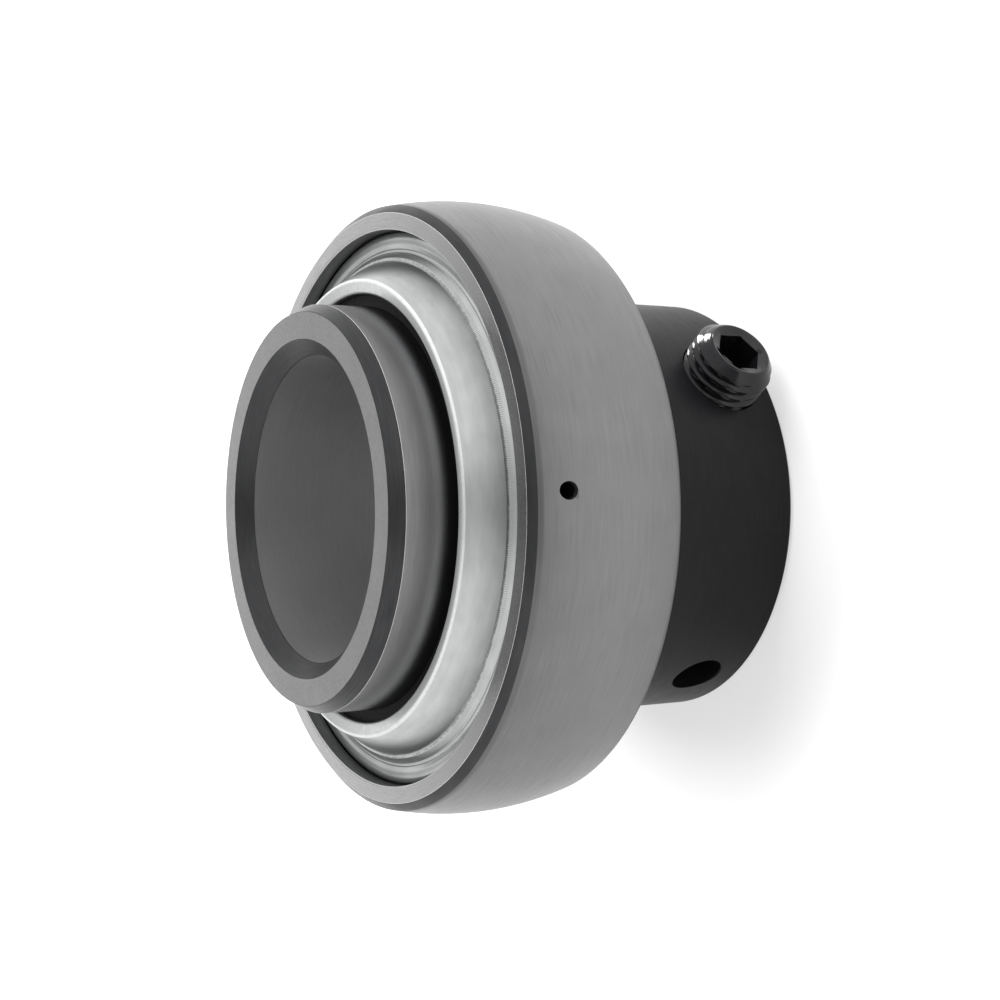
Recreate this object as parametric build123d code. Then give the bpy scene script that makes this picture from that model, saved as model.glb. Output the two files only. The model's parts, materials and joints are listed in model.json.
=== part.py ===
from build123d import *
import math
import os

# Insert ball bearing with an eccentric locking collar, in millimetres.
# The origin is the centre of the spherical outside, on the shaft axis.
# +Z runs along the shaft towards the plain end of the inner ring, and +X through the set screw.

# Rings and balls
bore_diameter = 35.0
inner_wall = 5.7            # from the bore to the ground outside of the inner ring
outer_wall = 5.7            # from the inside of the outer ring to the crown of its sphere
ball_diameter = 11.1
ball_count = 9
race_depth = 2.0            # how deep each raceway is sunk into its ring
race_conformity = 1.04      # raceway radius over ball radius
running_clearance = 0.08    # between a ball and the bottom of each raceway

# Ribbon cage
cage_sheet = 0.8
pocket_clearance = 0.15
cage_width = 4.6            # from its inner edge to its outer edge
cage_end_play = 0.3         # from the cage to each seal's seat
rivet_diameter = 1.6
rivet_fit = 0.03
rivet_head_diameter = 2.9
rivet_head_height = 0.6

# Outer ring
seal_recess_depth = 2.7     # from the side face down to the seal's seat
seal_ledge = 1.8            # width of the seat
groove_depth = 0.4          # undercut that the seal is pressed into
groove_height = 0.9
outer_chamfer_width = 0.9
outer_chamfer_depth = 0.75
lube_hole_diameter = 1.75
lube_hole_angle = -34.0

# Inner ring
plain_end_reach = 6.4       # from the top of the seal to the plain end
bore_chamfer = 1.8
rear_bore_chamfer = 0.8
end_chamfer_width = 0.9
end_chamfer_length = 1.6
cam_length = 4.2            # overlap of the collar and the cam
cam_relief = 0.1            # from the cam's high side to the ground outside
cam_chamfer = 0.5
cam_shoulder_gap = 0.4
eccentricity = 0.8
eccentric_angle = 90.0

# Seals, heights above the seat
cover_sheet = 0.4
backing_sheet = 0.3
rubber_thickness = 0.6
seal_fit = 0.04
sheet_bend = 0.3            # bend radii, at the middle of the sheet
bead_bend = 1.0
crease_bend = 0.1
rim_bend = 0.2
foot_gap = 0.1              # from the recess to the middle of the cover's foot
bead_width = 2.05           # from the recess to the crease
bead_flank = 0.65           # width of the bead's outer side
bead_height = 1.1
crease_flank = 0.7          # width of the bead's inner side
crease_height = 0.75
ridge_width = 0.45          # from the crease to the foot of the slope
ridge_flank = 0.2
ridge_height = 0.95
slope_width = 0.75
step_width = 0.25           # ledge between the slope and the cone
step_height = 1.7
seal_height = 5.6
rim_width = 1.6
rim_drop = 0.35             # the rim falls this much towards the shaft
rim_turn = 0.45             # length of the edge turned down inside the rim
rim_gap = 1.4               # from the rim to the inner ring
lip_clearance = 0.05
lip_thickness = 0.7
backing_end_gap = 0.4       # from the backing's end to the wiping part of the lip
backing_edge_gap = 0.6      # from the recess to the backing's edge

# Locking collar
collar_gap = 2.2            # from the seal to the collar
recess_clearance = 0.1      # around the cam
recess_end_gap = 0.15
collar_wall = 2.3           # around the thinnest side of the recess
collar_bore_clearance = 0.25
collar_chamfer = 0.5
recess_hole_web = 2.05      # from the recess to the set screw's hole
end_hole_web = 1.4          # from that hole to the collar's end face
drift_hole_diameter = 6.2
drift_hole_floor = 2.2
drift_hole_angle = -90.0
drill_point_angle = 118.0

# Set screw
screw_diameter = 10.0
thread_clearance = 0.05
screw_shaft_gap = 0.7       # from the screw's tip to the shaft
screw_protrusion = 4.4
screw_chamfer = 1.25
socket_depth = 5.0
socket_flare = 0.7
socket_flare_angle = 60.0
tip_chamfer = 1.2
tip_cup_depth = 0.7

# Radii that follow
bore_radius = bore_diameter / 2
ball_radius = ball_diameter / 2
land_gap = ball_diameter - 2 * race_depth
inner_radius = bore_radius + inner_wall
outer_land_radius = inner_radius + land_gap
pitch_radius = inner_radius + land_gap / 2
sphere_radius = outer_land_radius + outer_wall
race_radius = ball_radius * race_conformity
race_shift = race_radius - ball_radius - running_clearance
recess_radius = outer_land_radius + seal_ledge
pocket_radius = ball_radius + pocket_clearance
pocket_outer_radius = pocket_radius + cage_sheet

# Heights that follow: the lip's and the backing's from the seat, the rest from the middle of the outer ring
seal_seat = pocket_outer_radius + cage_end_play
ring_half_width = seal_seat + seal_recess_depth
seal_top = seal_seat + seal_height
lip_top = seal_height - rim_drop - rim_turn - cover_sheet - seal_fit
lip_bend = lip_top - 2 * lip_thickness
backing_height = lip_bend - backing_end_gap
plain_end = seal_top + plain_end_reach
collar_start = seal_top + collar_gap
cam_start = collar_start - cam_shoulder_gap
rear_end = collar_start + cam_length
recess_floor = rear_end + recess_end_gap
screw_height = recess_floor + recess_hole_web + screw_diameter / 2
collar_end = screw_height + screw_diameter / 2 + end_hole_web

# Cam, recess and collar that follow
cam_radius = inner_radius - eccentricity - cam_relief
cam_recess_radius = cam_radius + recess_clearance
collar_radius = cam_recess_radius + eccentricity + collar_wall
collar_bore_radius = bore_radius + collar_bore_clearance
cam_x = eccentricity * math.cos(math.radians(eccentric_angle))
cam_y = eccentricity * math.sin(math.radians(eccentric_angle))
screw_radius = screw_diameter / 2
hex_across_flats = screw_diameter / 2
drift_hole_depth = collar_radius - collar_bore_radius - drift_hole_floor


def turned(outline):
    """Revolve a closed outline of (radius, height) edges about the shaft axis."""
    return revolve(Plane.XZ * make_face(outline), Axis.Z)


def turned_polygon(points):
    return turned(Polyline(*points, close=True))


def ball_places():
    """Ball centres, evenly spaced on the pitch circle."""
    return PolarLocations(pitch_radius, ball_count)


def rivet_places():
    """Middles of the webs between the balls."""
    return PolarLocations(pitch_radius, ball_count, start_angle=180 / ball_count)


def raceway(shift):
    """Torus that cuts a raceway, its centre moved off the pitch circle by shift."""
    return Torus(pitch_radius + shift, race_radius)


def radial_bar(radius, start, end, height, angle):
    """Round bar that lies along a radius of the bearing, from start to end."""
    bar = Cylinder(radius, end - start, align=(Align.CENTER, Align.CENTER, Align.MIN))
    lying = Rot(0, 90, 0) * bar
    return Rot(0, 0, angle) * Pos(start, 0, height) * lying


def outer_ring():
    face_edge_height = ring_half_width - outer_chamfer_depth
    sphere_edge = math.sqrt(sphere_radius ** 2 - face_edge_height ** 2)
    face_radius = sphere_edge - outer_chamfer_width
    groove_radius = recess_radius + groove_depth
    side = [
        (outer_land_radius, seal_seat),
        (groove_radius, seal_seat),
        (groove_radius, seal_seat + groove_height),
        (recess_radius, seal_seat + groove_height),
        (recess_radius, ring_half_width),
        (face_radius, ring_half_width),
        (sphere_edge, face_edge_height),
    ]
    other_side = [(radius, -height) for radius, height in side]
    outline = [
        Polyline(*side),
        ThreePointArc(side[-1], (sphere_radius, 0), other_side[-1]),
        Polyline(*other_side[::-1]),
        Line(other_side[0], side[0]),
    ]
    ring = turned(outline) - raceway(-race_shift)
    hole = radial_bar(
        lube_hole_diameter / 2,
        outer_land_radius - race_depth,
        sphere_radius + race_depth,
        lube_hole_height(),
        lube_hole_angle,
    )
    return ring - hole


def lube_hole_height():
    """Middle of the land between the raceway and the seal's seat."""
    land_offset = outer_land_radius - (pitch_radius - race_shift)
    race_edge = math.sqrt(race_radius ** 2 - land_offset ** 2)
    return (race_edge + seal_seat) / 2


def inner_ring():
    ring = turned_polygon([
        (bore_radius, -rear_end + rear_bore_chamfer),
        (bore_radius, plain_end - bore_chamfer),
        (bore_radius + bore_chamfer, plain_end),
        (inner_radius - end_chamfer_width, plain_end),
        (inner_radius, plain_end - end_chamfer_length),
        (inner_radius, -cam_start),
        (bore_radius + rear_bore_chamfer, -cam_start),
        (bore_radius + rear_bore_chamfer, -rear_end),
    ])
    cam = Pos(cam_x, cam_y, -rear_end) * Cylinder(
        cam_radius, rear_end - cam_start, align=(Align.CENTER, Align.CENTER, Align.MIN)
    )
    cam = chamfer(cam.edges().sort_by(Axis.Z)[0], cam_chamfer)
    cam -= Cylinder(bore_radius + rear_bore_chamfer, 2 * rear_end)
    return ring + cam - raceway(race_shift)


def ball():
    return Sphere(ball_radius)


def cage_half(direction):
    """Wavy half of the ribbon cage: flat webs at the middle plane and round pockets over the balls."""
    inner_edge = pitch_radius - cage_width / 2
    outer_edge = pitch_radius + cage_width / 2
    band = Cylinder(outer_edge, pocket_outer_radius, align=(Align.CENTER, Align.CENTER, Align.MIN))
    band -= Cylinder(inner_edge, pocket_outer_radius, align=(Align.CENTER, Align.CENTER, Align.MIN))
    web = band & Cylinder(outer_edge, cage_sheet, align=(Align.CENTER, Align.CENTER, Align.MIN))
    domes = [place * Sphere(pocket_outer_radius) & band for place in ball_places()]
    half = web.fuse(*domes)
    half = half.cut(*[place * Sphere(pocket_radius) for place in ball_places()])
    rivet_hole = Cylinder(rivet_diameter / 2 + rivet_fit, 4 * cage_sheet)
    half = half.cut(*[place * rivet_hole for place in rivet_places()])
    if direction < 0:
        half = half.mirror(Plane.XY)
    return half


def cage_rivets():
    """Rivets with low domed heads, one in each web."""
    shank = Cylinder(rivet_diameter / 2, 2 * cage_sheet)
    head_radius = rivet_head_diameter / 2
    dome_radius = (head_radius ** 2 + rivet_head_height ** 2) / (2 * rivet_head_height)
    dome = Pos(0, 0, cage_sheet + rivet_head_height - dome_radius) * Sphere(dome_radius)
    above = Pos(0, 0, cage_sheet) * Cylinder(
        dome_radius, dome_radius, align=(Align.CENTER, Align.CENTER, Align.MIN)
    )
    head = dome & above
    rivet = shank + head + head.mirror(Plane.XY)
    return Compound(children=[place * rivet for place in rivet_places()])


def cone_point(height, depth):
    """Point inside the seal's cone, at a height above the seat and a depth below the outer surface."""
    base_radius = recess_radius - bead_width - ridge_width - slope_width - step_width
    top_radius = inner_radius + rim_gap + rim_width
    run = base_radius - top_radius
    rise = seal_height - step_height
    slant = math.hypot(run, rise)
    radius = base_radius - run * (height - step_height) / rise
    return (radius - depth * slant / rise, seal_seat + height)


def pressed_sheet(points, radii, thickness):
    """Ring of bent sheet, from the middle line of its section and the bend radii."""
    middle = FilletPolyline(*points, radius=radii)
    section = make_face(offset(middle, thickness / 2, side=Side.BOTH))
    return revolve(Plane.XZ * section, Axis.Z)


def seal_cover():
    """Outer sheet of the seal: a broad bead, a crease, a ridge, a slope up to a step, a cone and a rolled rim."""
    half = cover_sheet / 2
    crease_radius = recess_radius - bead_width
    slope_foot = crease_radius - ridge_width
    rim_inside = inner_radius + rim_gap + half
    points = [
        (recess_radius - foot_gap, seal_seat + groove_height / 2),
        (recess_radius - bead_flank, seal_seat + bead_height - half),
        (crease_radius + crease_flank, seal_seat + bead_height - half),
        (crease_radius, seal_seat + crease_height - half),
        (crease_radius - ridge_flank, seal_seat + ridge_height - half),
        (slope_foot, seal_seat + ridge_height - half),
        (slope_foot - slope_width, seal_seat + step_height - half),
        cone_point(step_height - half, half),
        cone_point(seal_height - half, half),
        (rim_inside, seal_top - half - rim_drop),
        (rim_inside, seal_top - half - rim_drop - rim_turn),
    ]
    bead_bends = [bead_bend, bead_bend]
    ridge_bends = [crease_bend, crease_bend]
    slope_bends = [sheet_bend, sheet_bend]
    cone_bends = [crease_bend, sheet_bend]
    radii = bead_bends + ridge_bends + slope_bends + cone_bends + [rim_bend]
    return pressed_sheet(points, radii, cover_sheet)


def seal_lip():
    """Rubber lip held between the two sheets, wiping the ground outside of the inner ring."""
    near = cover_sheet + seal_fit
    far = near + rubber_thickness
    wiper = inner_radius + lip_clearance
    return turned_polygon([
        cone_point(step_height, near),
        cone_point(lip_top, near),
        (wiper, seal_seat + lip_top),
        (wiper, seal_seat + lip_top - lip_thickness / 2),
        cone_point(lip_bend, far),
        cone_point(step_height, far),
    ])


def seal_backing():
    """Inner sheet of the seal, a flat ring on the seat with a cone behind the rubber."""
    half = backing_sheet / 2
    depth = cover_sheet + rubber_thickness + 2 * seal_fit + half
    points = [
        (recess_radius - backing_edge_gap, seal_seat + half),
        cone_point(half, depth),
        cone_point(backing_height, depth),
    ]
    return pressed_sheet(points, [backing_sheet], backing_sheet)


def locking_collar():
    collar = turned_polygon([
        (collar_bore_radius + collar_chamfer, -collar_end),
        (collar_radius - collar_chamfer, -collar_end),
        (collar_radius, -collar_end + collar_chamfer),
        (collar_radius, -collar_start - collar_chamfer),
        (collar_radius - collar_chamfer, -collar_start),
        (collar_bore_radius, -collar_start),
        (collar_bore_radius, -collar_end + collar_chamfer),
    ])
    recess = Pos(cam_x, cam_y, -recess_floor) * Cylinder(
        cam_recess_radius, cam_length + collar_gap, align=(Align.CENTER, Align.CENTER, Align.MIN)
    )
    screw_hole = radial_bar(
        screw_radius + thread_clearance, bore_radius / 2, 2 * collar_radius, -screw_height, 0
    )
    return collar - recess - screw_hole - drift_hole()


def drift_hole():
    """Blind hole for the pin that turns the collar, with a drilled bottom."""
    radius = drift_hole_diameter / 2
    bottom = collar_radius - drift_hole_depth
    point = radius / math.tan(math.radians(drill_point_angle / 2))
    hole = radial_bar(radius, bottom, 2 * collar_radius, -screw_height, drift_hole_angle)
    cone = Cone(0, radius, point, align=(Align.CENTER, Align.CENTER, Align.MAX))
    tip = Rot(0, 0, drift_hole_angle) * Pos(bottom, 0, -screw_height) * Rot(0, 90, 0) * cone
    return hole + tip


def set_screw():
    """Cup-point screw with a hex socket. Its crests fill the tapped hole up to the thread clearance."""
    tip = bore_radius + screw_shaft_gap
    end = collar_radius + screw_protrusion
    length = end - tip
    hex_radius = hex_across_flats / 2 / math.cos(math.pi / 6)
    rim_radius = hex_radius + socket_flare
    body = turned_polygon([
        (0, tip_cup_depth),
        (screw_radius - tip_chamfer - tip_cup_depth, 0),
        (screw_radius - tip_chamfer, 0),
        (screw_radius, tip_chamfer),
        (screw_radius, length - screw_chamfer),
        (screw_radius - screw_chamfer, length),
        (0, length),
    ])
    hexagon = RegularPolygon(hex_radius, 6)
    socket = Pos(0, 0, length - socket_depth) * extrude(hexagon, socket_depth)
    flare_height = socket_flare / math.tan(math.radians(socket_flare_angle))
    flare = Pos(0, 0, length) * Cone(
        hex_radius, rim_radius, flare_height, align=(Align.CENTER, Align.CENTER, Align.MAX)
    )
    screw = body - socket - flare
    return Pos(tip, 0, -screw_height) * Rot(0, 90, 0) * screw


def save(name, shape):
    export_step(shape, f"parts/{name}.step")


def main():
    os.makedirs("parts", exist_ok=True)
    save("outer_ring", outer_ring())
    save("inner_ring", inner_ring())
    for number, place in enumerate(ball_places(), start=1):
        save(f"ball_{number}", place * ball())
    save("cage_front", cage_half(1))
    save("cage_rear", cage_half(-1))
    save("cage_rivets", cage_rivets())
    seal_pieces = {"cover": seal_cover(), "lip": seal_lip(), "backing": seal_backing()}
    for name, piece in seal_pieces.items():
        save(f"front_seal_{name}", piece)
        save(f"rear_seal_{name}", piece.mirror(Plane.XY))
    save("locking_collar", locking_collar())
    save("set_screw", set_screw())


main()
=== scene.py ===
"""Looks of an insert bearing with a locking collar, in metres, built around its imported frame."""
import json
import math
from collections import namedtuple

import bmesh
import bpy
from mathutils import Matrix, Vector

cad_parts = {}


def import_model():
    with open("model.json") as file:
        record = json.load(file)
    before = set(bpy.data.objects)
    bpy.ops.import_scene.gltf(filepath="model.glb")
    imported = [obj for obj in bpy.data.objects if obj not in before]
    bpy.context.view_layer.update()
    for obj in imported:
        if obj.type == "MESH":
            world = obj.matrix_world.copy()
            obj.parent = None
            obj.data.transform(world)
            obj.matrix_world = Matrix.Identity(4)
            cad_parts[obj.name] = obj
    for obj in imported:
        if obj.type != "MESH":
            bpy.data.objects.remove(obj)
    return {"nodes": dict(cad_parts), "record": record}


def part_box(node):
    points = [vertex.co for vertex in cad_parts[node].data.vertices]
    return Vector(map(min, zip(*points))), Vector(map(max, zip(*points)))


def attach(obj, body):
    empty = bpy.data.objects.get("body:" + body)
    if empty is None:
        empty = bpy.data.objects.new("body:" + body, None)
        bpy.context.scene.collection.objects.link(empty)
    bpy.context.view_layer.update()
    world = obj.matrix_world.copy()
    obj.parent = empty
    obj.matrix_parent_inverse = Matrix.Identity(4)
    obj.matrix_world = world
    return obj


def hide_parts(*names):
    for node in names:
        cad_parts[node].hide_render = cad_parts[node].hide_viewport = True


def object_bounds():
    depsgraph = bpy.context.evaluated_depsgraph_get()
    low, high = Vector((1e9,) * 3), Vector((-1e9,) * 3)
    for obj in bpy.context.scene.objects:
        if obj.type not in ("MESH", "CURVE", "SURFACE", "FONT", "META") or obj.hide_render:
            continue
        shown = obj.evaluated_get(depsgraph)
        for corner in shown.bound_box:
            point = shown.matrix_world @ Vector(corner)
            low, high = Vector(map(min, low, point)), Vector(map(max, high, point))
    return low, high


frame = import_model()
cad_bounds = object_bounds()
mm = 0.001


# Sizes read from the frame

def high_corner(node):
    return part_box(node)[1]


def low_corner(node):
    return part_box(node)[0]


mounts = {mount["name"]: mount for mount in frame["record"]["mounts"]}
bore_radius = mounts["shaft_bore"]["dims"]["r_mm"] * mm
collar_bore_radius = mounts["collar_bore"]["dims"]["r_mm"] * mm
sphere_radius = high_corner("outer_ring").x
ring_half_width = high_corner("outer_ring").z
inner_radius = high_corner("inner_ring").x
plain_end = high_corner("inner_ring").z
rear_end = -low_corner("inner_ring").z
seal_top = high_corner("front_seal_cover").z
ball_radius = (high_corner("ball_1").z - low_corner("ball_1").z) / 2
collar_radius = high_corner("locking_collar").x
collar_start = -high_corner("locking_collar").z
collar_end = -low_corner("locking_collar").z
screw_tip = low_corner("set_screw").x
screw_end = high_corner("set_screw").x
screw_radius = high_corner("set_screw").y
screw_height = (high_corner("set_screw").z + low_corner("set_screw").z) / 2

# Sizes of the rings and the collar that the frame's boxes don't give, the same as the solids'
outer_wall = 5.7 * mm
race_depth = 2.0 * mm
race_conformity = 1.04
running_clearance = 0.08 * mm
seal_recess_depth = 2.7 * mm
seal_ledge = 1.8 * mm
groove_depth = 0.4 * mm
groove_height = 0.9 * mm
outer_chamfer_width = 0.9 * mm
outer_chamfer_depth = 0.75 * mm
lube_hole_radius = 0.875 * mm
lube_hole_angle = math.radians(-34)
bore_chamfer = 1.8 * mm
rear_bore_chamfer = 0.8 * mm
end_chamfer_width = 0.9 * mm
end_chamfer_length = 1.6 * mm
cam_relief = 0.1 * mm
cam_chamfer = 0.5 * mm
cam_lead = 0.4 * mm
eccentricity = 0.8 * mm
eccentric_angle = math.radians(90)
recess_clearance = 0.1 * mm
recess_end_gap = 0.15 * mm
collar_chamfer = 0.5 * mm
thread_clearance = 0.05 * mm
drift_hole_radius = 3.1 * mm
drift_hole_floor = 2.2 * mm
drift_hole_angle = math.radians(-90)
drill_point_angle = math.radians(118)

# Section of a seal's cover, from its foot in the outer ring to its rim, the same as the solids'
cover_sheet = 0.4 * mm
foot_gap = 0.1 * mm
bead_width = 2.05 * mm
bead_flank = 0.65 * mm
bead_height = 1.1 * mm
crease_flank = 0.7 * mm
crease_height = 0.75 * mm
ridge_width = 0.45 * mm
ridge_flank = 0.2 * mm
ridge_height = 0.95 * mm
slope_width = 0.75 * mm
step_width = 0.25 * mm
step_height = 1.7 * mm
rim_width = 1.6 * mm
rim_drop = 0.35 * mm
rim_turn = 0.45 * mm
rim_gap = 1.4 * mm
sheet_bend = 0.3 * mm
bead_bend = 1.0 * mm
crease_bend = 0.1 * mm
rim_bend = 0.2 * mm
least_bend = 0.06 * mm

# Set screw, with the shares of its socket at which the floor and the full hexagon begin
screw_pitch = 1.25 * mm
thread_depth = 0.68 * mm
crest_flat = 0.14
root_flat = 0.12
screw_chamfer = 1.25 * mm
tip_chamfer = 1.2 * mm
tip_cup_depth = 0.7 * mm
socket_depth = 5.0 * mm
socket_floor_share = 0.97
socket_flare = 0.7 * mm
socket_flare_angle = math.radians(60)
socket_hex_share = 0.1

# Sizes that follow
outer_land_radius = sphere_radius - outer_wall
pitch_radius = (inner_radius + outer_land_radius) / 2
race_radius = ball_radius * race_conformity
race_shift = race_radius - ball_radius - running_clearance
seal_seat = ring_half_width - seal_recess_depth
recess_radius = outer_land_radius + seal_ledge
crease_radius = recess_radius - bead_width
slope_foot = crease_radius - ridge_width
slope_head = slope_foot - slope_width
cone_foot = slope_head - step_width
cam_start = collar_start - cam_lead
cam_radius = inner_radius - eccentricity - cam_relief
recess_floor = rear_end + recess_end_gap
cam_recess_radius = cam_radius + recess_clearance

# Roundings of the turned edges
broken_edge = 0.07 * mm
soft_edge = 0.16 * mm

# Fineness and shading of the meshes
turn_segments = 192
hole_segments = 64
screw_segments = 96
rings_per_turn = 12
round_steps = 4
race_steps = 14
sphere_steps = 24
sharp_angle = math.radians(40)
thread_sharp_angle = math.radians(35)
face_area_weight = 90


# Materials

usual_noise = (0.3, 0.7)
noise_roughness = 0.55
streak_detail = 4.0
grain_detail = 4.0
mottle_detail = 2.0
axial_stretch = 1.37
gloss_swing = 0.05
mottle_size = 4 * mm
mottle_share = 0.3

# Plated seal sheet, its marks and painted shade, with the stretches of noise that they take up
sheet_dark = (0.50, 0.51, 0.51)
sheet_light = (0.66, 0.67, 0.67)
# Colour of the marks, also used for the painted shade at the cone's foot
mark_and_shade_colour = (0.06, 0.06, 0.062)
sheet_detail = 3.0
mark_detail = 2.0
sheet_streak_share = 0.5
sheet_streak_length = 5 * mm
sheet_streak_width = 0.5 * mm
sheet_cloud_size = 6 * mm
sheet_roughness = 0.32
sheet_gloss_swing = 0.04
sheet_groove_depth = 0.006 * mm
tick_pitch = 0.24 * mm
tick_length = 0.45 * mm
tick_fade = 0.08 * mm
tick_wave = (0.0, 0.8)
tick_cloud = (0.35, 0.6)
tick_strength = (0.15, 0.55)
dash_length = 0.7 * mm
dash_width = 0.4 * mm
dash_noise = (0.46, 0.54)
dash_strength = 0.65
line_width = 0.1 * mm
line_fade = 0.04 * mm
speckle_size = 0.13 * mm
speckle_reach = 1.1 * mm
speckle_noise = (0.48, 0.60)
speckle_strength = 0.6
unworn_share = 0.10
worn_angle = math.radians(-37)
worn_facing = (0.90, 0.99)
# Painted shade at the cone's foot, in place of the bead's and recess wall's shade: its reach up the
# cone and its strength
foot_shade_reach = 1.5 * mm
foot_shade_strength = 0.5
foot_fade = 0.05 * mm

Place = namedtuple("Place", "vector x y z radius")


def opaque(colour):
    return (*colour, 1)


class Shading:
    """Node tree of a material or a world, with the kinds of node that the scene uses."""

    def __init__(self, owner):
        owner.use_nodes = True
        self.nodes = owner.node_tree.nodes
        self.links = owner.node_tree.links

    def feed(self, socket, value):
        """Give a socket a plain value or the output of another node."""
        if isinstance(value, bpy.types.NodeSocket):
            self.links.new(value, socket)
        else:
            socket.default_value = value

    def node(self, kind, inputs=(), **settings):
        """New node, with inputs in their order or by name."""
        node = self.nodes.new(f"ShaderNode{kind}")
        for setting, value in settings.items():
            setattr(node, setting, value)
        keyed = inputs.items() if isinstance(inputs, dict) else enumerate(inputs)
        for key, value in keyed:
            self.feed(node.inputs[key], value)
        return node

    def math(self, operation, first, *others):
        """Math node, or a chain of them for more than two values."""
        if not others:
            return self.node("Math", [first], operation=operation).outputs[0]
        for other in others:
            first = self.node("Math", [first, other], operation=operation).outputs[0]
        return first

    def vector_math(self, operation, *vectors):
        return self.node("VectorMath", vectors, operation=operation).outputs

    def noise(self, vector, scale, detail):
        inputs = {"Vector": vector, "Scale": scale, "Detail": detail, "Roughness": noise_roughness}
        return self.node("TexNoise", inputs).outputs["Fac"]

    def map(self, value, low, high, to_low=0.0, to_high=1.0):
        """Value between two limits, spread over another range and held at its ends."""
        limits = {"From Min": low, "From Max": high, "To Min": to_low, "To Max": to_high}
        return self.node("MapRange", {"Value": value, **limits}).outputs["Result"]

    def within(self, value, low, high, soft):
        """1 between two values and 0 outside them, with soft edges."""
        rise = self.map(value, low - soft, low + soft)
        fall = self.map(value, high - soft, high + soft, 1.0, 0.0)
        return self.math("MULTIPLY", rise, fall)

    def colour_between(self, factor, dark, light):
        inputs = {"Factor": factor, "A": dark, "B": light}
        return self.node("Mix", inputs, data_type="RGBA").outputs["Result"]

    def seen_rays(self):
        """1 for what the camera, a mirror or a glass sees, and 0 for light that falls on things."""
        path = self.node("LightPath").outputs
        rays = ["Is Camera Ray", "Is Glossy Ray", "Is Transmission Ray"]
        return self.math("MAXIMUM", *[path[ray] for ray in rays])

    def place(self):
        """Place on the piece, with its distance from the shaft axis."""
        vector = self.node("TexCoord").outputs["Object"]
        x, y, z = self.node("SeparateXYZ", [vector]).outputs
        squares = self.math("ADD", self.math("MULTIPLY", x, x), self.math("MULTIPLY", y, y))
        return Place(vector, x, y, z, self.math("SQRT", squares))

    def turned_vector(self, place, length_along, width_across):
        """Seamless texture vector, whose cells are long round the axis and narrow across it."""
        scale = sphere_radius / length_along
        around = [self.math("MULTIPLY", self.math("DIVIDE", part, place.radius), scale)
                  for part in (place.x, place.y)]
        slope = self.math("MULTIPLY", place.z, axial_stretch)
        across = self.math("MULTIPLY", self.math("ADD", place.radius, slope), 1 / width_across)
        return self.node("CombineXYZ", [*around, across]).outputs[0]


class Surface(Shading):
    """Material with its main shader."""

    def __init__(self, name):
        self.material = bpy.data.materials.new(name)
        super().__init__(self.material)
        self.shader = self.nodes["Principled BSDF"]

    def look(self, colour, roughness, height, height_scale, metallic, specular=0.5):
        """Give the shader its colour, gloss, bump and kind of reflection."""
        bump = self.node("Bump", {"Distance": height_scale, "Height": height})
        looks = {"Base Color": colour, "Roughness": roughness, "Normal": bump.outputs["Normal"],
                 "Metallic": metallic, "Specular IOR Level": specular}
        for name, value in looks.items():
            self.feed(self.shader.inputs[name], value)

    def roughness_about(self, middle, noise, swing=gloss_swing):
        """Roughness that falls where the noise rises."""
        return self.map(noise, *usual_noise, middle + swing, middle - swing)

    def end_with(self, shader):
        self.feed(self.nodes["Material Output"].inputs["Surface"], shader.outputs[0])


def turned_metal(name, dark, light, roughness, streak_length, streak_width, bump_depth,
                 anisotropy=0.0, metallic=1.0, specular=0.5):
    """Metal with lines that run round the shaft axis: streaks, a faint mottle, and bump."""
    surface = Surface(name)
    place = surface.place()
    streaks = surface.noise(surface.turned_vector(place, streak_length, streak_width), 1.0,
                            streak_detail)
    mottle = surface.noise(place.vector, 1 / mottle_size, mottle_detail)
    blend = surface.math("ADD", surface.math("MULTIPLY", mottle, mottle_share),
                         surface.math("MULTIPLY", streaks, 1 - mottle_share))
    tone = surface.map(blend, *usual_noise)
    surface.look(surface.colour_between(tone, opaque(dark), opaque(light)),
                 surface.roughness_about(roughness, streaks), streaks, bump_depth,
                 metallic, specular)
    if anisotropy:
        surface.shader.inputs["Anisotropic"].default_value = anisotropy
        tangent = surface.node("Tangent", direction_type="RADIAL", axis="Z")
        surface.feed(surface.shader.inputs["Tangent"], tangent.outputs[0])
    return surface.material


def grained(name, dark, light, roughness, grain_size, bump_depth, metallic=0.0, specular=0.5):
    """Surface with a fine even grain."""
    surface = Surface(name)
    place = surface.node("TexCoord").outputs["Object"]
    grain = surface.noise(place, 1 / grain_size, grain_detail)
    tone = surface.map(grain, *usual_noise)
    surface.look(surface.colour_between(tone, opaque(dark), opaque(light)),
                 surface.roughness_about(roughness, grain), grain, bump_depth,
                 metallic, specular)
    return surface.material


def sheet_ticks(surface, place, cloud):
    """Fine radial ticks that the pressing left at the head of the slope."""
    angle = surface.math("ARCTAN2", place.y, place.x)
    count = round(math.tau * slope_foot / tick_pitch)
    wave = surface.math("SINE", surface.math("MULTIPLY", angle, count))
    on_slope = surface.within(place.radius, slope_head, slope_head + tick_length, tick_fade)
    strength = surface.map(cloud, *tick_cloud, *tick_strength)
    return surface.math("MULTIPLY", surface.map(wave, *tick_wave), on_slope, strength)


def sheet_lines(surface, place):
    """Broken lines round the axis, at the head of the slope and at the foot of the cone."""
    vector = surface.turned_vector(place, dash_length, dash_width)
    dashes = surface.map(surface.noise(vector, 1.0, mark_detail), *dash_noise, 0.0, dash_strength)
    half = line_width / 2
    at_head = surface.within(place.radius, slope_head, slope_head + line_width, line_fade)
    at_cone = surface.within(place.radius, cone_foot - half, cone_foot + half, line_fade)
    return surface.math("MULTIPLY", dashes, surface.math("ADD", at_head, at_cone))


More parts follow.
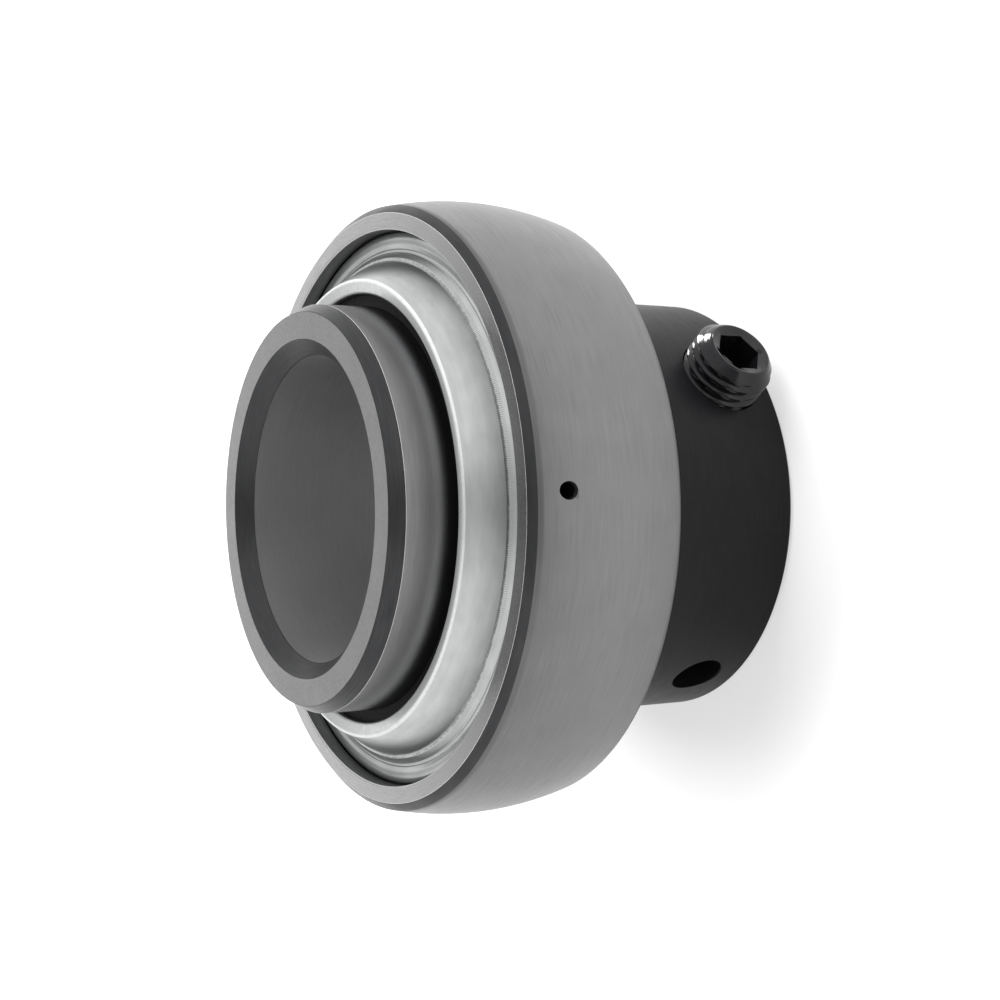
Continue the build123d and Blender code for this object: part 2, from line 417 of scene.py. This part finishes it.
def foot_shade_and_specks(surface, place):
    """Painted shade at the cone's foot, and specks there, most on its worn side."""
    on_cone = surface.map(place.radius, cone_foot, cone_foot + foot_fade, 1.0, 0.0)
    # Painted shade: the sheet gets darker towards the cone's foot, all round
    foot_shade = surface.map(place.radius, cone_foot - foot_shade_reach, cone_foot, 0.0, foot_shade_strength)

    along = surface.math("ADD", surface.math("MULTIPLY", place.x, math.cos(worn_angle)),
                         surface.math("MULTIPLY", place.y, math.sin(worn_angle)))
    facing = surface.math("DIVIDE", along, place.radius)
    worn = surface.map(facing, *worn_facing, unworn_share, 1.0)
    grain = surface.noise(place.vector, 1 / speckle_size, mark_detail)
    specks = surface.map(grain, *speckle_noise, 0.0, speckle_strength)
    low = surface.map(place.radius, cone_foot - speckle_reach, cone_foot)
    return surface.math("MAXIMUM", surface.math("MULTIPLY", specks, worn, low, on_cone),
                        surface.math("MULTIPLY", on_cone, foot_shade))


def plated_sheet():
    """Satin plated sheet with ticks, broken lines, specks and painted shade at its foot."""
    surface = Surface("plated sheet")
    place = surface.place()
    vector = surface.turned_vector(place, sheet_streak_length, sheet_streak_width)
    streaks = surface.noise(vector, 1.0, sheet_detail)
    cloud = surface.noise(place.vector, 1 / sheet_cloud_size, sheet_detail)
    tone = surface.math("ADD", surface.math("MULTIPLY", streaks, sheet_streak_share),
                        surface.math("MULTIPLY", cloud, 1 - sheet_streak_share))
    base = surface.colour_between(surface.map(tone, *usual_noise),
                                  opaque(sheet_dark), opaque(sheet_light))
    # The mark colour darkens the sheet for ticks, lines and specks, and for the painted shade at
    # the cone's foot
    marks = surface.math("MAXIMUM", sheet_ticks(surface, place, cloud),
                         sheet_lines(surface, place), foot_shade_and_specks(surface, place))
    surface.look(surface.colour_between(marks, base, opaque(mark_and_shade_colour)),
                 surface.roughness_about(sheet_roughness, tone, sheet_gloss_swing),
                 streaks, sheet_groove_depth, 1.0)
    return surface.material


# Turned metal: dark and light colour, roughness, streak length and width, depth of the bump.
# Grained surface: dark and light colour, roughness, grain size, depth of the bump.
finishes = {
    "ground_outside": turned_metal(
        "ground outside", (0.150, 0.150, 0.152), (0.185, 0.185, 0.188), 0.36,
        5 * mm, 0.14 * mm, 0.0015 * mm, anisotropy=0.5),
    "side_face": turned_metal(
        "ground side face", (0.60, 0.60, 0.60), (0.68, 0.68, 0.68), 0.24,
        2 * mm, 0.12 * mm, 0.0010 * mm, anisotropy=0.3),
    "inner_face": turned_metal(
        "ground inner face", (0.42, 0.42, 0.42), (0.54, 0.54, 0.54), 0.38,
        1 * mm, 0.14 * mm, 0.004 * mm, anisotropy=0.2),
    "dark_turned": turned_metal(
        "dark turned chamfer", (0.050, 0.051, 0.053), (0.075, 0.075, 0.077), 0.36,
        6 * mm, 0.14 * mm, 0.004 * mm),
    # Darker than the side face: painted shade of the seal recess on its turned wall
    "recess_wall": turned_metal(
        "recess wall painted shade", (0.15, 0.15, 0.152), (0.20, 0.20, 0.203), 0.42,
        4 * mm, 0.2 * mm, 0.004 * mm),
    "bore": turned_metal(
        "honed bore", (0.46, 0.46, 0.465), (0.51, 0.51, 0.515), 0.42,
        8 * mm, 0.3 * mm, 0.0005 * mm, metallic=0.92),
    "raceway": turned_metal(
        "polished raceway", (0.60, 0.60, 0.60), (0.68, 0.68, 0.68), 0.15,
        8 * mm, 0.4 * mm, 0.001 * mm),
    "inner_outside": turned_metal(
        "ground inner ring", (0.165, 0.165, 0.168), (0.205, 0.205, 0.208), 0.34,
        6 * mm, 0.14 * mm, 0.0015 * mm, anisotropy=0.5),
    "sheet": plated_sheet(),
    # Lighter copy of the plated sheet for the rolled rim: a painted highlight on its bend and flat
    "sheet_rim": grained(
        "rolled rim painted highlight", (0.70, 0.71, 0.71), (0.78, 0.79, 0.79), 0.32,
        0.6 * mm, 0.002 * mm, metallic=0.85),
    "collar_black": turned_metal(
        "black oxide", (0.005, 0.005, 0.006), (0.009, 0.009, 0.010), 0.40,
        5 * mm, 0.3 * mm, 0.003 * mm, metallic=0.0, specular=0.13),
    # Lighter steel on the rounded edge between a face and its chamfer: a painted highlight
    "burnished_edge": grained(
        "edge painted highlight", (0.68, 0.68, 0.68), (0.78, 0.78, 0.78), 0.32,
        0.4 * mm, 0.001 * mm, metallic=0.85),
    # Lighter metal on the collar's end edge: a painted highlight
    "collar_edge": grained(
        "collar edge painted highlight", (0.16, 0.16, 0.16), (0.24, 0.24, 0.24), 0.35,
        0.4 * mm, 0.001 * mm, metallic=0.9),
    "hole_black": grained(
        "hole wall", (0.004, 0.004, 0.004), (0.008, 0.008, 0.008), 0.5,
        0.4 * mm, 0.01 * mm, specular=0.1),
    "screw_black": grained(
        "oiled black screw", (0.003, 0.003, 0.004), (0.007, 0.007, 0.008), 0.14,
        0.5 * mm, 0.003 * mm, specular=0.35),
    "rubber": grained(
        "black rubber", (0.004, 0.004, 0.004), (0.007, 0.007, 0.007), 0.6,
        0.3 * mm, 0.01 * mm, specular=0.12),
    "ball": grained(
        "polished ball", (0.62, 0.62, 0.63), (0.68, 0.68, 0.69), 0.10,
        2 * mm, 0.0005 * mm, metallic=1.0),
    "cage": grained(
        "pressed strip", (0.50, 0.50, 0.50), (0.60, 0.60, 0.60), 0.35,
        0.6 * mm, 0.004 * mm, metallic=1.0),
}


# Outlines

Corner = namedtuple("Corner", "r z finish round shift edge", defaults=(0.0, 0.0, None))
Mark = namedtuple("Mark", "r z finish shift")


def arc_points(start, centre, end, steps):
    """Points on the short arc from start to end about centre, both ends included."""
    first = start - centre
    last = end - centre
    turn = first.angle_signed(last)
    return [centre + Matrix.Rotation(-turn * i / steps, 2) @ first for i in range(steps + 1)]


def rounded_corner(before, corner, after, radius):
    """Arc that rounds a corner, from one leg to the other."""
    back = (before - corner).normalized()
    ahead = (after - corner).normalized()
    half = back.angle(ahead) / 2
    reach = radius / math.tan(half)
    centre = corner + (back + ahead).normalized() * radius / math.sin(half)
    return arc_points(corner + back * reach, centre, corner + ahead * reach, round_steps)


def place_of(corner):
    return Vector((corner.r, corner.z))


def outline_marks(corners):
    """Closed outline of marks, with every corner rounded as it asks.

    A finish belongs to the stretch after it, and an edge, where a corner has one, to its rounding.
    """
    marks = []
    for i, corner in enumerate(corners):
        if corner.round == 0:
            marks.append(Mark(corner.r, corner.z, corner.finish, corner.shift))
            continue
        before = place_of(corners[i - 1])
        after = place_of(corners[(i + 1) % len(corners)])
        arc = rounded_corner(before, place_of(corner), after, corner.round)
        edge = corner.edge or corner.finish
        marks += [Mark(point.x, point.y, edge, corner.shift) for point in arc[:-1]]
        marks.append(Mark(arc[-1].x, arc[-1].y, corner.finish, corner.shift))
    return marks


def race_corners(centre_radius, side, half_width, upwards):
    """Corners along a raceway's arc. The side is 1 outside the balls and -1 inside them."""
    reach = math.asin(half_width / race_radius)
    corners = []
    for i in range(race_steps + 1):
        angle = reach * (2 * i / race_steps - 1)
        angle = angle if upwards else -angle
        radius = centre_radius + side * race_radius * math.cos(angle)
        corners.append(Corner(radius, race_radius * math.sin(angle), "raceway"))
    return corners


# Meshes

def new_piece(name, mesh):
    piece = bpy.data.objects.new(name, mesh)
    bpy.context.scene.collection.objects.link(piece)
    return piece


def finish_normals(piece, sharpest=sharp_angle):
    """Smooth shading that keeps flat faces flat and leaves the sharpest edges sharp."""
    mesh = piece.data
    mesh.shade_smooth()
    mesh.set_sharp_from_angle(angle=sharpest)
    weighted = piece.modifiers.new("weighted normals", "WEIGHTED_NORMAL")
    weighted.keep_sharp = True
    weighted.weight = face_area_weight


def direction_at(angle):
    return Vector((math.cos(angle), math.sin(angle), 0))


def circle(centre, radii):
    """Ring of points about a centre, at even angles and the given radii."""
    count = len(radii)
    return [centre + direction_at(math.tau * j / count) * radius
            for j, radius in enumerate(radii)]


def mesh_of_rings(name, rings, ring_finishes, closed):
    """Mesh through rings of equally many points. A closed one joins its last ring to its first."""
    count = len(rings[0])
    mesh = bpy.data.meshes.new(name)
    points = [point for ring in rings for point in ring]
    faces = []
    face_finishes = []
    last = len(rings) if closed else len(rings) - 1
    for i in range(last):
        here = i * count
        there = (i + 1) % len(rings) * count
        for j in range(count):
            k = (j + 1) % count
            faces.append((here + j, here + k, there + k, there + j))
            face_finishes.append(ring_finishes[i])
    if not closed:
        faces.append(tuple(range(count)))
        face_finishes.append(ring_finishes[0])
        faces.append(tuple(range(last * count, (last + 1) * count)))
        face_finishes.append(ring_finishes[-1])
    mesh.from_pydata(points, [], faces)
    used = sorted(set(face_finishes))
    for finish in used:
        mesh.materials.append(finishes[finish])
    slots = [used.index(finish) for finish in face_finishes]
    mesh.polygons.foreach_set("material_index", slots)
    shape = bmesh.new()
    shape.from_mesh(mesh)
    bmesh.ops.recalc_face_normals(shape, faces=shape.faces)
    shape.to_mesh(mesh)
    shape.free()
    return mesh


def turned_piece(name, corners):
    """Ring turned from a closed outline. A corner's shift moves its circle off the shaft axis."""
    marks = outline_marks(corners)
    toward = direction_at(eccentric_angle)
    rings = []
    for mark in marks:
        centre = toward * mark.shift + Vector((0, 0, mark.z))
        rings.append(circle(centre, [mark.r] * turn_segments))
    return new_piece(name, mesh_of_rings(name, rings, [mark.finish for mark in marks], True))


def hole_cutter(name, stations, angle, height):
    """Round cutter along a radius. Stations are (distance from the axis, radius), outwards."""
    lying = Matrix.Rotation(angle, 4, "Z") @ Matrix.Rotation(math.pi / 2, 4, "Y")
    place = Matrix.Translation((0, 0, height)) @ lying
    rings = []
    for distance, radius in stations:
        ring = circle(Vector((0, 0, distance)), [radius] * hole_segments)
        rings.append([place @ point for point in ring])
    return new_piece(name, mesh_of_rings(name, rings, ["hole_black"] * len(stations), False))


def cut(piece, cutter):
    """Take the cutter out of the piece and delete it."""
    boolean = piece.modifiers.new("cut", "BOOLEAN")
    boolean.operation = "DIFFERENCE"
    boolean.solver = "EXACT"
    boolean.material_mode = "TRANSFER"
    boolean.object = cutter
    graph = bpy.context.evaluated_depsgraph_get()
    mesh = bpy.data.meshes.new_from_object(piece.evaluated_get(graph))
    piece.modifiers.remove(boolean)
    piece.data = mesh
    bpy.data.objects.remove(cutter)


def stand_for(piece, node, body):
    """Let a finished piece take a solid's place on its body."""
    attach(piece, body)
    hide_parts(node)


# Rings

def outer_ring():
    edge_height = ring_half_width - outer_chamfer_depth
    sphere_edge = math.sqrt(sphere_radius ** 2 - edge_height ** 2)
    face_radius = sphere_edge - outer_chamfer_width
    groove_radius = recess_radius + groove_depth
    race_centre = pitch_radius - race_shift
    race_half = math.sqrt(race_radius ** 2 - (outer_land_radius - race_centre) ** 2)

    front = [
        Corner(outer_land_radius, seal_seat, "dark_turned"),
        Corner(groove_radius, seal_seat, "dark_turned"),
        Corner(groove_radius, seal_seat + groove_height, "dark_turned"),
        # The recess wall after this corner takes the darker finish, painted shade
        Corner(recess_radius, seal_seat + groove_height, "recess_wall"),
        Corner(recess_radius, ring_half_width, "side_face", soft_edge),
        # The rounding between the side face and the chamfer takes a painted highlight
        Corner(face_radius, ring_half_width, "dark_turned", broken_edge, edge="burnished_edge"),
    ]
    arc = []
    reach = math.asin(edge_height / sphere_radius)
    for i in range(sphere_steps + 1):
        angle = reach * (1 - 2 * i / sphere_steps)
        radius = sphere_radius * math.cos(angle)
        arc.append(Corner(radius, sphere_radius * math.sin(angle), "ground_outside"))
    arc[-1] = arc[-1]._replace(finish="dark_turned")
    back_finishes = ["side_face", "recess_wall", "dark_turned", "dark_turned", "dark_turned",
                     "raceway"]
    back = [corner._replace(z=-corner.z, finish=finish)
            for corner, finish in zip(front[::-1], back_finishes)]
    race = race_corners(race_centre, 1, race_half, True)
    piece = turned_piece("outer_ring_finished", front + arc + back + race)

    height = (race_half + seal_seat) / 2
    surface = math.sqrt(sphere_radius ** 2 - height ** 2)
    stations = [
        (outer_land_radius - race_depth, lube_hole_radius),
        (surface - broken_edge, lube_hole_radius),
        (surface + race_depth, lube_hole_radius + race_depth + broken_edge),
    ]
    cut(piece, hole_cutter("lube cutter", stations, lube_hole_angle, height))
    finish_normals(piece)
    stand_for(piece, "outer_ring", "outer_race")


def inner_ring():
    race_centre = pitch_radius + race_shift
    race_half = math.sqrt(race_radius ** 2 - (race_centre - inner_radius) ** 2)
    corners = [
        Corner(bore_radius, -rear_end + rear_bore_chamfer, "bore"),
        Corner(bore_radius, plain_end - bore_chamfer, "dark_turned", soft_edge),
        Corner(bore_radius + bore_chamfer, plain_end, "inner_face", broken_edge),
        Corner(inner_radius - end_chamfer_width, plain_end, "dark_turned", broken_edge),
        # The rounding between the end chamfer and the outside takes a painted highlight
        Corner(inner_radius, plain_end - end_chamfer_length, "inner_outside", broken_edge,
               edge="burnished_edge"),
        *race_corners(race_centre, -1, race_half, False),
        Corner(inner_radius, -cam_start, "dark_turned"),
        Corner(cam_radius, -cam_start, "side_face", shift=eccentricity),
        Corner(cam_radius, -rear_end + cam_chamfer, "dark_turned", shift=eccentricity),
        Corner(cam_radius - cam_chamfer, -rear_end, "side_face", shift=eccentricity),
        Corner(bore_radius + rear_bore_chamfer, -rear_end, "dark_turned"),
    ]
    piece = turned_piece("inner_ring_finished", corners)
    finish_normals(piece)
    stand_for(piece, "inner_ring", "inner_race")


# Seals

def cone_point(height, depth):
    """Point inside a cover's cone, at a height above its seat and a depth below its surface."""
    top_radius = inner_radius + rim_gap + rim_width
    run = cone_foot - top_radius
    rise = seal_top - seal_seat - step_height
    slant = math.hypot(run, rise)
    radius = cone_foot - run * (height - step_height) / rise
    return (radius - depth * slant / rise, seal_seat + height)


def offset_line(points, distance):
    """Open line moved sideways, to the left of its direction, with mitred corners."""
    places = [Vector(point) for point in points]
    moved = []
    for i, place in enumerate(places):
        sides = []
        if i > 0:
            ahead = (place - places[i - 1]).normalized()
            sides.append(Vector((-ahead.y, ahead.x)))
        if i < len(places) - 1:
            ahead = (places[i + 1] - place).normalized()
            sides.append(Vector((-ahead.y, ahead.x)))
        middle = sum(sides, Vector((0, 0))).normalized()
        moved.append(place + middle * distance / middle.dot(sides[0]))
    return moved


def turn_at(before, place, after):
    """Positive where an open line bends to the left."""
    first = place - before
    second = after - place
    return first.x * second.y - first.y * second.x


def sheet_side(points, bends, distance, rim_highlight_finish="sheet"):
    """One face of a bent sheet, with the rim's flat and the bend before it in the rim's finish."""
    moved = offset_line(points, distance)
    corners = [Corner(moved[0].x, moved[0].y, "sheet")]
    middle = [Vector(point) for point in points]
    rim_start = len(points) - 3
    for i in range(1, len(points) - 1):
        left = turn_at(middle[i - 1], middle[i], middle[i + 1]) > 0
        radius = bends[i - 1] - distance if left else bends[i - 1] + distance
        finish = rim_highlight_finish if i == rim_start else "sheet"
        corners.append(Corner(moved[i].x, moved[i].y, finish, max(radius, least_bend)))
    corners.append(Corner(moved[-1].x, moved[-1].y, "sheet"))
    return corners


def seal_cover(end, direction):
    half = cover_sheet / 2
    rim_inside = inner_radius + rim_gap + half
    points = [
        (recess_radius - foot_gap, seal_seat + groove_height / 2),
        (recess_radius - bead_flank, seal_seat + bead_height - half),
        (crease_radius + crease_flank, seal_seat + bead_height - half),
        (crease_radius, seal_seat + crease_height - half),
        (crease_radius - ridge_flank, seal_seat + ridge_height - half),
        (slope_foot, seal_seat + ridge_height - half),
        (slope_head, seal_seat + step_height - half),
        cone_point(step_height - half, half),
        cone_point(seal_top - seal_seat - half, half),
        (rim_inside, seal_top - half - rim_drop),
        (rim_inside, seal_top - half - rim_drop - rim_turn),
    ]
    bends = [bead_bend, bead_bend, crease_bend, crease_bend]
    bends += [sheet_bend, sheet_bend, crease_bend, sheet_bend, rim_bend]
    # The shown face's rim takes the lighter finish, a painted highlight
    shown = sheet_side(points, bends, -half, "sheet_rim")
    hidden = sheet_side(points, bends, half)
    corners = [corner._replace(z=corner.z * direction) for corner in shown + hidden[::-1]]
    piece = turned_piece(f"{end}_seal_cover_pressed", corners)
    finish_normals(piece)
    stand_for(piece, f"{end}_seal_cover", "outer_race")


# Locking collar

def locking_collar():
    black = "collar_black"
    corners = [
        Corner(collar_bore_radius + collar_chamfer, -collar_end, black),
        Corner(collar_radius - collar_chamfer, -collar_end, black, broken_edge),
        # The rounding at the collar's end edge takes a painted highlight
        Corner(collar_radius, -collar_end + collar_chamfer, black, broken_edge,
               edge="collar_edge"),
        Corner(collar_radius, -collar_start - collar_chamfer, black, broken_edge),
        Corner(collar_radius - collar_chamfer, -collar_start, black, broken_edge),
        Corner(cam_recess_radius, -collar_start, black, shift=eccentricity),
        Corner(cam_recess_radius, -recess_floor, black, shift=eccentricity),
        Corner(collar_bore_radius, -recess_floor, black),
        Corner(collar_bore_radius, -collar_end + collar_chamfer, black),
    ]
    piece = turned_piece("locking_collar_finished", corners)

    def broken_mouth(radius):
        """Last stations of a cutter, which break the hole's edge at the collar's outside."""
        return [(collar_radius - soft_edge, radius),
                (2 * collar_radius, radius + collar_radius + soft_edge)]

    hole_radius = screw_radius + thread_clearance
    stations = [(bore_radius / 2, hole_radius), *broken_mouth(hole_radius)]
    cut(piece, hole_cutter("screw cutter", stations, 0, screw_height))
    hole_floor = collar_bore_radius + drift_hole_floor
    point = drift_hole_radius / math.tan(drill_point_angle / 2)
    stations = [(hole_floor - point, least_bend), (hole_floor, drift_hole_radius),
                *broken_mouth(drift_hole_radius)]
    cut(piece, hole_cutter("drift cutter", stations, drift_hole_angle, screw_height))
    finish_normals(piece)
    stand_for(piece, "locking_collar", "collar")


# Set screw

def thread_radius(along, angle):
    """Radius of a right-hand thread, from a flat crest down straight flanks to a flat root."""
    phase = (along / screw_pitch - angle / math.tau) % 1
    away = min(phase, 1 - phase) * 2
    fall = (away - crest_flat) / (1 - crest_flat - root_flat)
    return screw_radius - thread_depth * min(max(fall, 0), 1)


def hexagon_radius(apothem, angle):
    sector = math.tau / 6
    return apothem / math.cos((angle % sector) - sector / 2)


def set_screw():
    """Screw as rings from the cup at its tip, over the thread, down to the socket's floor."""
    length = screw_end - screw_tip
    apothem = screw_radius / 2
    hex_corner = apothem / math.cos(math.pi / 6)
    flare_depth = socket_flare / math.tan(socket_flare_angle)
    cup_edge = screw_radius - tip_chamfer
    end_radius = screw_radius - screw_chamfer
    angles = [math.tau * j / screw_segments for j in range(screw_segments)]
    hexagon = [hexagon_radius(apothem, angle) for angle in angles]
    rings = []

    def add_ring(along, radii):
        rings.append(circle(Vector((0, 0, along)), radii))

    def add_circle(along, radius):
        add_ring(along, [radius] * screw_segments)

    add_circle(tip_cup_depth, least_bend)
    add_circle(0, cup_edge - tip_cup_depth)
    add_circle(0, cup_edge - least_bend)
    count = round(length / screw_pitch * rings_per_turn)
    for i in range(1, count):
        along = length * i / count
        widest = min(cup_edge + along, end_radius + length - along)
        add_ring(along, [min(thread_radius(along, angle), widest) for angle in angles])
    add_circle(length - least_bend, end_radius)
    add_circle(length, end_radius - least_bend)
    add_circle(length, hex_corner + socket_flare)
    least_mouth = hex_corner + socket_hex_share * socket_flare
    mouth = [max(radius, least_mouth) for radius in hexagon]
    add_ring(length - flare_depth * (1 - socket_hex_share), mouth)
    add_ring(length - flare_depth - least_bend, hexagon)
    add_ring(length - socket_depth * socket_floor_share, hexagon)
    add_circle(length - socket_depth, least_bend)
    mesh = mesh_of_rings("set_screw_threaded", rings, ["screw_black"] * len(rings), False)
    lying = Matrix.Rotation(math.pi / 2, 4, "Y")
    mesh.transform(Matrix.Translation((screw_tip, 0, screw_height)) @ lying)
    piece = new_piece("set_screw_threaded", mesh)
    finish_normals(piece, thread_sharp_angle)
    stand_for(piece, "set_screw", "screw")


# Pieces inside the bearing, which keep their solids

def inner_pieces():
    kinds = {"ball_": "ball", "cage_": "cage", "_seal_lip": "rubber", "_seal_backing": "sheet"}
    for node, solid in frame["nodes"].items():
        for kind, finish in kinds.items():
            if kind in node:
                solid.data.materials.clear()
                solid.data.materials.append(finishes[finish])


# Stage

toward_side = (0.6, 0.8, 0.0)
toward_camera = (0.8, -0.6, 0.0)
upward = (0.0, 0.0, 1.0)


def soft_box(name, place, size, power):
    """Square lamp that faces the origin and that no surface mirrors."""
    lamp = bpy.data.lights.new(name, "AREA")
    lamp.size = size
    lamp.energy = power
    light = bpy.data.objects.new(name, lamp)
    light.location = place
    light.visible_glossy = False
    light.rotation_mode = "QUATERNION"
    light.rotation_quaternion = (-Vector(place)).to_track_quat("-Z", "Y")
    bpy.context.scene.collection.objects.link(light)
    return light


def screw_sparkle(place, size, power):
    """Soft box that only the set screw mirrors, for the small highlights on its edges."""
    light = soft_box("screw soft box", place, size, power)
    light.visible_glossy = True
    light.visible_diffuse = False
    light.visible_camera = False
    receivers = bpy.data.collections.new("screw alone")
    receivers.objects.link(bpy.data.objects["set_screw_threaded"])
    light.light_linking.receiver_collection = receivers


def floor():
    """Pale floor with a glow that grows away from the object and ends under the bore."""
    half_size = 3.0
    glow_near = 0.6
    near = 0.15
    far = 0.60
    surface = Surface("pale floor")
    surface.shader.inputs["Base Color"].default_value = (0.92, 0.92, 0.92, 1)
    surface.shader.inputs["Roughness"].default_value = 0.9
    surface.shader.inputs["Specular IOR Level"].default_value = 0.0
    place = surface.node("TexCoord").outputs["Object"]
    level_place = surface.vector_math("MULTIPLY", place, (1, 1, 0))["Vector"]
    distance = surface.vector_math("LENGTH", level_place)["Value"]
    outside = surface.map(distance, collar_bore_radius, collar_radius)
    share = surface.map(distance, near, far, glow_near, 1.0)
    glowing = surface.math("MULTIPLY", surface.seen_rays(), outside, share)
    glow = surface.node("Emission")
    shaders = [surface.shader.outputs[0], glow.outputs[0]]
    surface.end_with(surface.node("MixShader", [glowing, *shaders]))

    mesh = bpy.data.meshes.new("floor")
    height = cad_bounds[0].z
    corners = [(x * half_size, y * half_size, height)
               for x, y in ((-1, -1), (1, -1), (1, 1), (-1, 1))]
    mesh.from_pydata(corners, [], [(0, 1, 2, 3)])
    mesh.materials.append(surface.material)
    new_piece("floor", mesh)


def world():
    """White surroundings that light the object less than they show."""
    light_share = 0.6
    scene = bpy.context.scene
    scene.world = bpy.data.worlds.new("studio")
    shading = Shading(scene.world)
    background = shading.nodes["Background"]
    background.inputs["Color"].default_value = (1, 1, 1, 1)
    strength = shading.map(shading.seen_rays(), 0.0, 1.0, light_share, 1.0)
    shading.feed(background.inputs["Strength"], strength)


def reflection_tent():
    """Dome that only reflections show.

    It is bright to both sides and low behind the object, dark above, and grey behind the camera.
    """
    radius = 1.2
    side_level = 1.0
    camera_level = 0.45
    upper_level = 0.05
    side_fade = (0.10, 0.40)
    upper_fade = (0.43, 0.50)
    camera_fade = (-0.15, 0.25)

    surface = Surface("tent")
    place = surface.node("TexCoord").outputs["Object"]
    direction = surface.vector_math("NORMALIZE", place)["Vector"]

    def share_along(axis):
        return surface.vector_math("DOT_PRODUCT", direction, axis)["Value"]

    side = surface.map(surface.math("ABSOLUTE", share_along(toward_side)), *side_fade)
    behind = surface.map(share_along(upward), *upper_fade, side_level, upper_level)
    turn = surface.map(share_along(toward_camera), *camera_fade)
    camera_gap = surface.math("SUBTRACT", camera_level, behind)
    level = surface.math("ADD", behind, surface.math("MULTIPLY", camera_gap, turn))
    side_gap = surface.math("SUBTRACT", side_level, level)
    strength = surface.math("ADD", level, surface.math("MULTIPLY", side_gap, side))
    surface.end_with(surface.node("Emission", {"Strength": strength}))

    shape = bmesh.new()
    bmesh.ops.create_uvsphere(shape, u_segments=48, v_segments=24, radius=radius)
    mesh = bpy.data.meshes.new("reflection_tent")
    shape.to_mesh(mesh)
    shape.free()
    mesh.materials.append(surface.material)
    tent = new_piece("reflection_tent", mesh)
    tent.visible_camera = False
    tent.visible_diffuse = False
    tent.visible_transmission = False
    tent.visible_shadow = False


def camera():
    """Camera at the photograph's place, rolled so that the shaft axis lies nearly level."""
    place = Vector((136.51, -100.79, 94.16)) * mm
    right = Vector((0.40724, -0.31597, -0.85692))
    up = Vector((0.60179, 0.79861, -0.00848))
    back = right.cross(up).normalized()
    right = up.cross(back).normalized()
    turn = Matrix((right, up.normalized(), back)).transposed().to_4x4()
    lens = bpy.data.cameras.new("camera")
    lens.sensor_width = 36
    lens.lens = 58.452
    lens.clip_start = 0.01
    shot = bpy.data.objects.new("camera", lens)
    shot.matrix_world = Matrix.Translation(place) @ turn
    bpy.context.scene.collection.objects.link(shot)
    bpy.context.scene.camera = shot


outer_ring()
inner_ring()
seal_cover("front", 1)
seal_cover("rear", -1)
locking_collar()
set_screw()
inner_pieces()
floor()
reflection_tent()
world()
camera()
soft_box("upper soft box", (0.30, 0.40, 0.25), size=0.35, power=6)
screw_sparkle((0.10, 0.50, 0.06), size=0.20, power=5)
soft_box("overhead soft box", (-0.1, 0.1, 0.55), size=0.40, power=6)
bpy.context.scene.view_settings.view_transform = "Standard"
